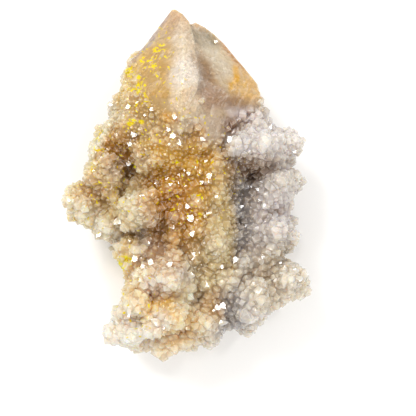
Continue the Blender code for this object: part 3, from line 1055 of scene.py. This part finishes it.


# %% [markdown]
# The stone's colour comes from iron and manganese that settled while it grew, so it changes in soft clouds
# and not from crystal to crystal. Each cloud is a zone whose edge wavers, and later clouds lie over earlier
# ones. Two clouds also carry painted shade: one in a hollow on the right, and one beside the ledge.

# %% Stains
QUARTZ_WHITE = "#ddd2bf"
WAVER = 3.0
WAVER_SIZE = 5.0
STAINS = [
    # middle and half sizes in pixels of the photograph, turn in degrees, softness, colour, strength
    ((245, 200), (75, 95), 0, 0.3, "#c7beb7", 0.9),
    ((265, 135), (42, 32), 0, 0.35, "#e0d7d2", 0.9),
    ((234, 202), (17, 48), 4, 0.55, "#8f8985", 0.9),
    ((228, 188), (12, 18), 0, 0.6, "#8b7e72", 0.8),
    # dark brown in the hollow on the right: stain, partly painted shade of the hollow
    ((252, 168), (24, 11), 12, 0.6, "#8d6a48", 0.85),
    ((278, 212), (20, 24), 0, 0.5, "#d8cdc9", 0.8),
    ((278, 280), (38, 34), 0, 0.4, "#d5c6ad", 0.9),
    ((262, 322), (28, 10), 10, 0.6, "#e2d8d2", 0.8),
    ((300, 285), (14, 22), 0, 0.6, "#e0d4c0", 0.8),
    ((150, 300), (60, 62), 0, 0.3, "#f3d19a", 0.95),
    ((125, 335), (34, 26), 0, 0.5, "#f8eedf", 0.9),
    ((168, 258), (34, 16), -12, 0.5, "#e6c4a0", 0.85),
    ((192, 273), (12, 12), -30, 0.6, "#a89b93", 0.8),
    ((168, 308), (26, 17), 10, 0.6, "#efbf5e", 0.85),
    ((191, 296), (15, 15), 0, 0.6, "#f3e6c6", 0.85),
    ((158, 286), (14, 12), 0, 0.5, "#f3e0cd", 0.85),
    ((160, 320), (11, 11), 0, 0.4, "#eedcc6", 0.85),
    ((233, 318), (16, 26), -8, 0.5, "#aeaaa9", 0.85),
    ((214, 305), (9, 18), 0, 0.6, "#d2a561", 0.7),
    ((105, 175), (62, 60), 0, 0.3, "#e6c680", 0.9),
    ((118, 150), (23, 22), 0, 0.5, "#b8842a", 0.95),
    ((94, 190), (18, 13), 20, 0.6, "#bd9356", 0.8),
    ((122, 172), (13, 11), 0, 0.6, "#a98653", 0.8),
    ((86, 152), (7, 48), -34, 0.6, "#eae0bf", 0.85),
    ((151, 161), (12, 13), 0, 0.6, "#a8988f", 0.9),
    ((145, 203), (22, 20), 0, 0.5, "#dfd0a8", 0.85),
    ((100, 225), (48, 11), -34, 0.5, "#e8dabb", 0.85),
    ((137, 235), (13, 8), 20, 0.7, "#735840", 0.85),
    ((127, 246), (8, 14), 0, 0.7, "#e8bb55", 0.7),
    ((121, 266), (4, 11), 12, 0.6, "#f0d418", 0.85),
    ((185, 180), (40, 70), 8, 0.35, "#dda930", 0.95),
    ((190, 165), (28, 30), 0, 0.6, "#daa52c", 0.8),
    ((172, 208), (24, 32), 10, 0.6, "#c4850a", 0.95),
    ((160, 225), (13, 12), 0, 0.7, "#9d6a0a", 0.8),
    ((222, 232), (13, 50), 6, 0.5, "#dfc588", 0.9),
    ((205, 268), (15, 26), 12, 0.6, "#d3bb80", 0.85),
    ((192, 66), (78, 70), 0, 0.2, "#d3b98f", 0.95),
    ((182, 22), (24, 20), 0, 0.5, "#cfae88", 0.85),
    ((150, 84), (27, 44), -15, 0.4, "#cfa65a", 0.9),
    ((188, 41), (13, 17), 20, 0.6, "#dfcdb3", 0.85),
    ((205, 39), (13, 9), -35, 0.7, "#93876a", 0.85),
    # brown beside the ledge: haze in the quartz, partly painted shadow of the step
    ((204, 74), (10, 22), 12, 0.7, "#9c764c", 0.9),
    ((213, 97), (15, 14), 0, 0.6, "#b89980", 0.8),
    ((218, 62), (8, 26), 32, 0.7, "#e2d4bc", 0.8),
    ((236, 57), (5, 24), 41, 0.7, "#b9803f", 0.85),
    ((245, 87), (14, 17), 30, 0.6, "#d9ab55", 0.85),
    ((234, 77), (3.4, 15), -6, 0.5, "#e3ab08", 0.95),
    ((234, 104), (20, 8), -16, 0.8, "#9a7048", 0.75),
    ((247, 115), (19, 7), -6, 0.5, "#d6c8c4", 0.9),
    ((184, 73), (14, 20), 8, 0.6, "#f4e8da", 0.9),
    ((186, 100), (12, 12), 0, 0.5, "#e6cfae", 0.85),
    ((208, 126), (17, 15), 0, 0.5, "#cfb89f", 0.85),
    ((232, 125), (9, 8), 0, 0.7, "#85593b", 0.85),
    ((129, 76), (9, 30), -22, 0.6, "#e4c06c", 0.85),
    ((150, 39), (3.2, 36), -33, 0.4, "#b5a49c", 0.9),
    ((169, 119), (9, 7), 0, 0.7, "#e0a62c", 0.8),
    ((197, 134), (8, 8), 0, 0.7, "#d29616", 0.8),
]


def stain_washes(tree, place):
    """A wash for each stain, at places that a noise moves by up to half of WAVER each way."""
    inputs = {"Vector": place, "Scale": 1 / (WAVER_SIZE * MM), "Detail": 3.0}
    waver = add_node(tree, "ShaderNodeTexNoise", inputs).outputs["Color"]
    inputs = {0: waver, 1: (0.5,) * 3}
    centred = add_node(tree, "ShaderNodeVectorMath", inputs, operation="SUBTRACT").outputs[0]
    inputs = {0: centred, 1: (WAVER * MM,) * 3, 2: place}
    wavering = add_node(tree, "ShaderNodeVectorMath", inputs, operation="MULTIPLY_ADD").outputs[0]
    return [
        ("MIX", zone(tree, wavering, pixel, half_pixels, turn, softness), strength, linear(stain))
        for pixel, half_pixels, turn, softness, stain, strength in STAINS
    ]


# %% [markdown]
# The hollows between the knobs get painted shade with some brown stain, while the knobs and the crystals'
# tips get painted light and look whiter. Every crystal also has a tone of its own, and so has each of its
# faces, because each lets a little more or less light through.

# %% Painted shade in the hollows, painted light on knobs and tips
# brown stain that also paints the shade of the hollows
HOLLOW_STAIN_AND_SHADE = "#c39a68"
# the colour of the painted highlights on knobs, tips and rims
PAINTED_HIGHLIGHT = "#efe7dc"
# each takes a number from one value to another and gives the share or tone at both
STAIN_AND_SHADE_IN_HOLLOWS = (0.2, -0.9, 0, 0.4)
KNOB_PAINTED_LIGHT_TONE = (0, 1.2, 1.0, 1.12)
PAINTED_HIGHLIGHT_ON_KNOBS = (0.1, 1.2, 0, 0.28)
PAINTED_LIGHT_ON_TIPS = (0.1, 0.9, 0, 0.22)
CRYSTAL_TONE = (0, 1, 0.93, 1.06)
FACE_TONE = (0, 1, 0.9, 1.1)


def shade_light_and_tone_washes(tree, crust):
    """Painted shade, painted light and tones that run evenly with proud, with rise and with the crystals'
    random numbers.
    """
    return [
        # stain and painted shade in the hollows between the knobs
        ("MULTIPLY", crust, number(tree, "proud", *STAIN_AND_SHADE_IN_HOLLOWS), linear(HOLLOW_STAIN_AND_SHADE)),
        # painted light: the knobs lighter than the hollows
        ("MULTIPLY", 1.0, 1.0, number(tree, "proud", *KNOB_PAINTED_LIGHT_TONE)),
        # painted highlight on the tops of the knobs
        ("MIX", crust, number(tree, "proud", *PAINTED_HIGHLIGHT_ON_KNOBS), linear(PAINTED_HIGHLIGHT)),
        # painted light: the higher a place stands over the ground, the whiter
        ("MIX", crust, number(tree, "rise", *PAINTED_LIGHT_ON_TIPS), linear(PAINTED_HIGHLIGHT)),
        ("MULTIPLY", 1.0, 1.0, number(tree, "grain", *CRYSTAL_TONE)),
        ("MULTIPLY", crust, 1.0, number(tree, "facet", *FACE_TONE)),
    ]


# %% [markdown]
# The crystals' edges get painted highlights as pale rims, stronger the higher an edge stands over the ground.
# The Bevel node gives the normal that a rounded edge would have, and where that differs from the flat face's
# own normal, an edge is near.

# %% Painted highlights on the rims
RIM_WIDTH = 0.22
RIM_BEND = (0.99, 0.9)
PAINTED_HIGHLIGHT_ON_RIMS = (0.05, 0.35, 0.0, 0.7)


def rim_highlight_washes(tree):
    """A painted highlight shows on a rim where rounded normal . flat normal falls through RIM_BEND."""
    rounded = add_node(tree, "ShaderNodeBevel", {"Radius": RIM_WIDTH * MM}, samples=4).outputs[0]
    flat = add_node(tree, "ShaderNodeNewGeometry").outputs["Normal"]
    alike = add_node(tree, "ShaderNodeVectorMath", {0: rounded, 1: flat}, operation="DOT_PRODUCT")
    inputs = {"Value": alike.outputs["Value"], "From Min": RIM_BEND[0], "From Max": RIM_BEND[1]}
    at_edge = add_node(tree, "ShaderNodeMapRange", inputs).outputs["Result"]
    # painted highlight on the rims, stronger the higher they stand
    return [("MIX", at_edge, number(tree, "rise", *PAINTED_HIGHLIGHT_ON_RIMS), linear(PAINTED_HIGHLIGHT))]


# %% [markdown]
# Underneath, the specimen was broken off its rock. Broken milky quartz is dull white with brown stain in
# patches.

# %% The broken underside
BREAK_HEIGHTS = (0.8, 1.5)
BROKEN_WHITE = "#d9cdb9"
BROKEN_STAIN = "#a98a63"
BROKEN_PATCH = 7.0
PATCH_EDGE = (0.45, 0.68)
BROKEN_STAIN_SHARE = 0.8
BROKEN_STRENGTH = 0.85


def broken_part(tree, place):
    """One below the lower of BREAK_HEIGHTS, and nothing above the upper one."""
    height = add_node(tree, "ShaderNodeSeparateXYZ", {0: place}).outputs["Z"]
    inputs = {"Value": height, "From Min": BREAK_HEIGHTS[1] * MM, "From Max": BREAK_HEIGHTS[0] * MM}
    return add_node(tree, "ShaderNodeMapRange", inputs).outputs["Result"]


def broken_washes(tree, place, broken):
    """Dull white, stained where a coarse noise is high."""
    shares = (0, BROKEN_STAIN_SHARE)
    patches = blobs(tree, place, BROKEN_PATCH, *PATCH_EDGE, shares, Detail=4.0, Roughness=0.6)
    fresh = washed(tree, linear(BROKEN_WHITE), [("MIX", 1.0, patches, linear(BROKEN_STAIN))])
    return [("MIX", broken, BROKEN_STRENGTH, fresh)]


# %% [markdown]
# Inside the clear points hang veils, thin sheets of tiny bubbles that follow the crystal's length. They show
# through the faces as pale and brownish wisps, so the noise that draws them is drawn out lengthwise.

# %% Veils
VEIL_WHITE = "#f3e9dc"
VEIL_BROWN = "#a5805a"
VEIL_TURN = -28
VEIL_WIDTH = 0.9
VEIL_LENGTH = 4.5
VEIL_DEPTH = 1.8
VEIL_NOISE = {"Detail": 4.0, "Roughness": 0.6, "Distortion": 0.6}
PALE_EDGE = (0.5, 0.7)
PALE_SHARE = 0.4
BROWN_EDGE = (0.48, 0.3)
BROWN_SHARE = 0.3


def veil_washes(tree, place, on_bare):
    """The high values of the drawn-out noise are pale wisps, and the low ones brownish."""
    drawn_out = (1, VEIL_LENGTH / VEIL_WIDTH, VEIL_DEPTH / VEIL_WIDTH)
    inputs = {"Vector": place, "Rotation": (0, 0, math.radians(VEIL_TURN)), "Scale": drawn_out}
    lengthwise = add_node(tree, "ShaderNodeMapping", inputs, vector_type="TEXTURE").outputs[0]
    pale = blobs(tree, lengthwise, VEIL_WIDTH, *PALE_EDGE, (0, PALE_SHARE), **VEIL_NOISE)
    brown = blobs(tree, lengthwise, VEIL_WIDTH, *BROWN_EDGE, (0, BROWN_SHARE), **VEIL_NOISE)
    return [("MIX", on_bare, pale, linear(VEIL_WHITE)), ("MIX", on_bare, brown, linear(VEIL_BROWN))]


# %% [markdown]
# Milky quartz is never even: fine clouds of bubbles make it lighter and darker from one half millimetre to
# the next. The mottle is strongest on the bare faces, where no crystals break the colour up.

# %% Mottle
MOTTLE_SIZE = 0.6
MOTTLE_EDGE = (0.35, 0.65)
MOTTLE_TONE = (0.76, 1.2)
MOTTLE_SHARE = (0, 1, 0.5, 1.0)


def mottle_washes(tree, place):
    """The colour times a tone that follows a fine noise."""
    tone = blobs(tree, place, MOTTLE_SIZE, *MOTTLE_EDGE, MOTTLE_TONE, Detail=5.0, Roughness=0.7)
    return [("MULTIPLY", 1.0, number(tree, "bare", *MOTTLE_SHARE), tone)]


# %% [markdown]
# A bright yellow film of iron oxide has crept into cracks on the left of the stone. It lies in small specks
# elsewhere, and in a few ragged patches. Cracks are the borders between Voronoi cells, broken up by noise,
# specks are the peaks of a finer noise, and patches are zones with a ragged edge.

# %% Yellow film
YELLOW_FILM = "#f6dc08"
# middle and half sizes in pixels of the photograph
CRACKED_ZONES = [((134, 74), (10, 22)), ((137, 104), (12, 20)), ((154, 58), (14, 16)), ((132, 123), (12, 7))]
CRACKED_ZONES += [((122, 262), (5, 13)), ((96, 150), (6, 34))]
SPECKLED_ZONES = [((150, 90), (34, 70)), ((110, 190), (50, 50)), ((190, 170), (45, 60))]
SPECKLED_ZONES += [((130, 300), (30, 50))]
FILM_PATCHES = [((127, 259), (7, 3.5)), ((122.5, 268), (3.2, 9)), ((131, 124), (4, 2.6))]
FILM_PATCHES += [((141, 122), (3, 2.2)), ((162, 45), (3.2, 1.6)), ((153, 66), (4.2, 1.6))]
FILM_PATCHES += [((128, 71), (2.6, 4)), ((138, 88), (2, 6))]
FILM_SOFTNESS = 0.35
CRACK_CELL = 2.2
CRACK_WIDTH = 0.16
CRACK_CORE = 0.6
CRACK_LENGTH = 1.5
CRACK_ENDS = (0.54, 0.6)
SPECK_SIZE = 0.8
SPECK_EDGE = (0.73, 0.76)
RAGGED_SIZE = 0.9
RAGGED_EDGE = (0.38, 0.46)


def inside(tree, place, zones):
    """The largest value that any of the zones has."""
    total = 0.0
    for pixel, half_pixels in zones:
        mask = zone(tree, place, pixel, half_pixels, 0, FILM_SOFTNESS)
        total = add_node(tree, "ShaderNodeMath", {0: total, 1: mask}, operation="MAXIMUM").outputs[0]
    return total


def film_washes(tree, place):
    """Yellow where zone x shape is one. A crack fades out towards CRACK_WIDTH from a border, and is full up
    to CRACK_CORE of that."""
    cells = {"Vector": place, "Scale": 1 / (CRACK_CELL * MM)}
    border = add_node(tree, "ShaderNodeTexVoronoi", cells, feature="DISTANCE_TO_EDGE").outputs["Distance"]
    edge = CRACK_WIDTH / CRACK_CELL
    inputs = {"Value": border, "From Min": edge, "From Max": edge * CRACK_CORE}
    cracks = add_node(tree, "ShaderNodeMapRange", inputs).outputs["Result"]
    open_parts = blobs(tree, place, CRACK_LENGTH, *CRACK_ENDS, Detail=1.0)
    cracks = add_node(tree, "ShaderNodeMath", {0: cracks, 1: open_parts}, operation="MULTIPLY").outputs[0]
    specks = blobs(tree, place, SPECK_SIZE, *SPECK_EDGE, Detail=0.0)
    ragged = blobs(tree, place, RAGGED_SIZE, *RAGGED_EDGE, Detail=1.0)
    return [
        ("MIX", inside(tree, place, zones), shape, linear(YELLOW_FILM))
        for zones, shape in ((CRACKED_ZONES, cracks), (SPECKLED_ZONES, specks), (FILM_PATCHES, ragged))
    ]


# %% [markdown]
# Every crystal of the crust is itself built of smaller faces, too fine for the mesh. They are drawn as a
# bump in which each cell is a small plane that leans its own way: a coarse mosaic everywhere, and sugary
# cells where the stone is rough or frosted. Where quartz breaks, shallow ripples run round, as on the inside
# of a shell.

# %% Relief too fine for the mesh
MOSAIC_CELL = 2.6
MOSAIC_LEAN = 0.12
SUGAR_CELL = 0.55
SUGAR_LEAN = 0.3
SUGAR_ON_FACES = (0.05, 0.5, 0, 1)
# pixel, half sizes in pixels, turn in degrees, softness
FROSTED_PATCH = ((185, 76), (15, 24), 8, 0.3)
FROSTED_STRENGTH = 0.8
RIPPLE_SPACING = 8.17
RIPPLE_DEPTH = 0.25
# at scale one, a wave texture's rings are this far apart
RING_SPACING = 2 * math.pi / 20


def leaning_cells(tree, place, cell_mm):
    """A height in metres that is a plane in every cell: the way from the cell's middle, dotted with the
    cell's own random direction."""
    cells = add_node(tree, "ShaderNodeTexVoronoi", {"Vector": place, "Scale": 1 / (cell_mm * MM)})
    inputs = {0: place, 1: cells.outputs["Position"]}
    way = add_node(tree, "ShaderNodeVectorMath", inputs, operation="SUBTRACT").outputs[0]
    inputs = {0: cells.outputs["Color"], 1: (0.5,) * 3}
    lean = add_node(tree, "ShaderNodeVectorMath", inputs, operation="SUBTRACT").outputs[0]
    return add_node(tree, "ShaderNodeVectorMath", {0: way, 1: lean}, operation="DOT_PRODUCT").outputs["Value"]


def ripples(tree, place):
    """A height in metres that swings between zero and RIPPLE_DEPTH in warped rings."""
    inputs = {"Vector": place, "Scale": RING_SPACING / (RIPPLE_SPACING * MM)}
    inputs |= {"Distortion": 9.0, "Detail": 2.0, "Detail Scale": 2.0}
    rings = add_node(tree, "ShaderNodeTexWave", inputs, wave_type="RINGS", rings_direction="SPHERICAL")
    inputs = {0: rings.outputs["Fac"], 1: RIPPLE_DEPTH * MM}
    return add_node(tree, "ShaderNodeMath", inputs, operation="MULTIPLY").outputs[0]


def relief(tree, place, broken):
    """The normal after three bumps, each on top of the one before."""
    inputs = {0: zone(tree, place, *FROSTED_PATCH), 1: FROSTED_STRENGTH}
    frosted = add_node(tree, "ShaderNodeMath", inputs, operation="MULTIPLY").outputs[0]
    inputs = {0: number(tree, "facet", *SUGAR_ON_FACES), 1: frosted}
    sugary = add_node(tree, "ShaderNodeMath", inputs, operation="MAXIMUM").outputs[0]
    mosaic = {"Height": leaning_cells(tree, place, MOSAIC_CELL), "Distance": MOSAIC_LEAN, "Strength": 1.0}
    sugar = {"Height": leaning_cells(tree, place, SUGAR_CELL), "Distance": SUGAR_LEAN, "Strength": sugary}
    shells = {"Height": ripples(tree, place), "Distance": 1.0, "Strength": broken}
    normal = {}
    for inputs in (mosaic, sugar, shells):
        normal = {"Normal": add_node(tree, "ShaderNodeBump", inputs | normal).outputs[0]}
    return normal["Normal"]


# %% [markdown]
# Quartz bends light with an index of 1.544. Milky quartz is full of tiny bubbles, so only part of the light
# goes straight through: the shader's transmission carries that part and subsurface scattering the rest. The
# depth of the stone tints the light by plain absorption. Growth faces are glossy, and each is a little
# rougher or smoother than the next. This gives the eye a deep, soft, half-clear body with sharp glints on
# it.

# %% Milky quartz
QUARTZ_IOR = 1.544
THROUGH_SHARE = 0.3
SCATTER_RADIUS = (1.0, 0.85, 0.6)
SCATTER_DEPTH = 2.3
ABSORBED_COLOUR = "#f0dab8"
ABSORPTION = 10.0
FACE_ROUGHNESS = (0, 1, 0.06, 0.28)
BARE_ROUGHNESS = (0, 1, 0, 0.14)


def milky_quartz():
    """All washes in the order in which they lie over each other, the relief, and the light's way inside."""
    material = bpy.data.materials.new("milky quartz")
    material.use_nodes = True
    tree = material.node_tree
    tree.nodes.clear()
    place = add_node(tree, "ShaderNodeTexCoord").outputs["Object"]
    crust = number(tree, "bare", 0, 1, 1, 0)
    broken = broken_part(tree, place)
    unbroken = add_node(tree, "ShaderNodeMath", {0: 1.0, 1: broken}, operation="SUBTRACT").outputs[0]
    inputs = {0: number(tree, "bare", 0, 1, 0, 1), 1: unbroken}
    on_bare = add_node(tree, "ShaderNodeMath", inputs, operation="MULTIPLY").outputs[0]
    washes = stain_washes(tree, place) + shade_light_and_tone_washes(tree, crust) + rim_highlight_washes(tree)
    washes += broken_washes(tree, place, broken) + veil_washes(tree, place, on_bare)
    washes += mottle_washes(tree, place) + film_washes(tree, place)
    inputs = {0: number(tree, "facet", *FACE_ROUGHNESS), 1: number(tree, "bare", *BARE_ROUGHNESS)}
    inputs = {
        "Base Color": washed(tree, linear(QUARTZ_WHITE), washes),
        "Roughness": add_node(tree, "ShaderNodeMath", inputs, operation="ADD").outputs[0],
        "IOR": QUARTZ_IOR,
        "Transmission Weight": THROUGH_SHARE,
        "Subsurface Weight": 1.0,
        "Subsurface Radius": SCATTER_RADIUS,
        "Subsurface Scale": SCATTER_DEPTH * MM,
        "Normal": relief(tree, place, broken),
    }
    surface = add_node(tree, "ShaderNodeBsdfPrincipled", inputs).outputs[0]
    inputs = {"Color": linear(ABSORBED_COLOUR), "Density": ABSORPTION}
    volume = add_node(tree, "ShaderNodeVolumeAbsorption", inputs).outputs[0]
    add_node(tree, "ShaderNodeOutputMaterial", {"Surface": surface, "Volume": volume})
    print("milky quartz", len(washes), "washes,", len(tree.nodes), "nodes")
    return material


# %% [markdown]
# The crust stands for the whole stone in the picture. It rides on the part's only body, and its faces stay
# flat shaded, because a crystal's faces are flat.

# %% The finished stone
quartz.data.materials.clear()
quartz.data.materials.append(milky_quartz())
quartz.data.polygons.foreach_set("use_smooth", np.zeros(len(quartz.data.polygons), bool))
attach(quartz, "root")
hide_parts("spirit_quartz")

# %% [markdown]
# The stage is a pale floor. A crystal only glitters if something small and bright is there to be mirrored,
# so large soft lights give even daylight, and a few small ones give the glints.

# %% Stage and lights
FLOOR_COLOUR = "#f7f6f4"
FLOOR_SIZE = 3.0
FLOOR_ROUGHNESS = 0.8
AMBIENT = 0.85
SOFT_LIGHTS = [
    # name, position in m, size in m, power in W
    ("key", KEY_LIGHT, 0.22, 2.2),
    ("fill", (0.55, -0.15, 0.60), 0.50, 1.2),
]
GLINT_LIGHTS = [
    ("glint_right", (0.25, 0.20, 0.50), 0.05, 0.35),
    ("glint_near", (0.05, -0.35, 0.50), 0.05, 0.35),
]


def area_light(name, position, size, power):
    """A round soft light that looks at the stone."""
    light = bpy.data.lights.new(name, "AREA")
    light.shape = "DISK"
    light.size = size
    light.energy = power
    made = bpy.data.objects.new(name, light)
    made.location = position
    made.rotation_euler = (-Vector(position)).to_track_quat("-Z", "Y").to_euler()
    bpy.context.scene.collection.objects.link(made)
    return made


for settings in SOFT_LIGHTS:
    area_light(*settings)
for settings in GLINT_LIGHTS:
    area_light(*settings).visible_transmission = False

world = bpy.data.worlds.new("studio")
world.use_nodes = True
world.node_tree.nodes["Background"].inputs["Color"].default_value = (1.0, 1.0, 1.0, 1.0)
world.node_tree.nodes["Background"].inputs["Strength"].default_value = AMBIENT
bpy.context.scene.world = world
bpy.context.scene.view_settings.view_transform = "Standard"

half_floor = FLOOR_SIZE / 2
floor_points = np.array([[-1, -1, 0], [1, -1, 0], [1, 1, 0], [-1, 1, 0]]) * half_floor
floor = mesh_object("floor", floor_points, [np.array([[0, 1, 2, 3]])])
floor_material = bpy.data.materials.new("matt white board")
floor_material.use_nodes = True
floor_shader = floor_material.node_tree.nodes["Principled BSDF"]
floor_shader.inputs["Base Color"].default_value = linear(FLOOR_COLOUR)
floor_shader.inputs["Roughness"].default_value = FLOOR_ROUGHNESS
floor.data.materials.append(floor_material)
print("lights", len(SOFT_LIGHTS) + len(GLINT_LIGHTS))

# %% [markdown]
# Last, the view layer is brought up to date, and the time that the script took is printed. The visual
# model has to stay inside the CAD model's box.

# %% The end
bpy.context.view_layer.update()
print("made in", round(time.time() - STARTED, 1), "s")
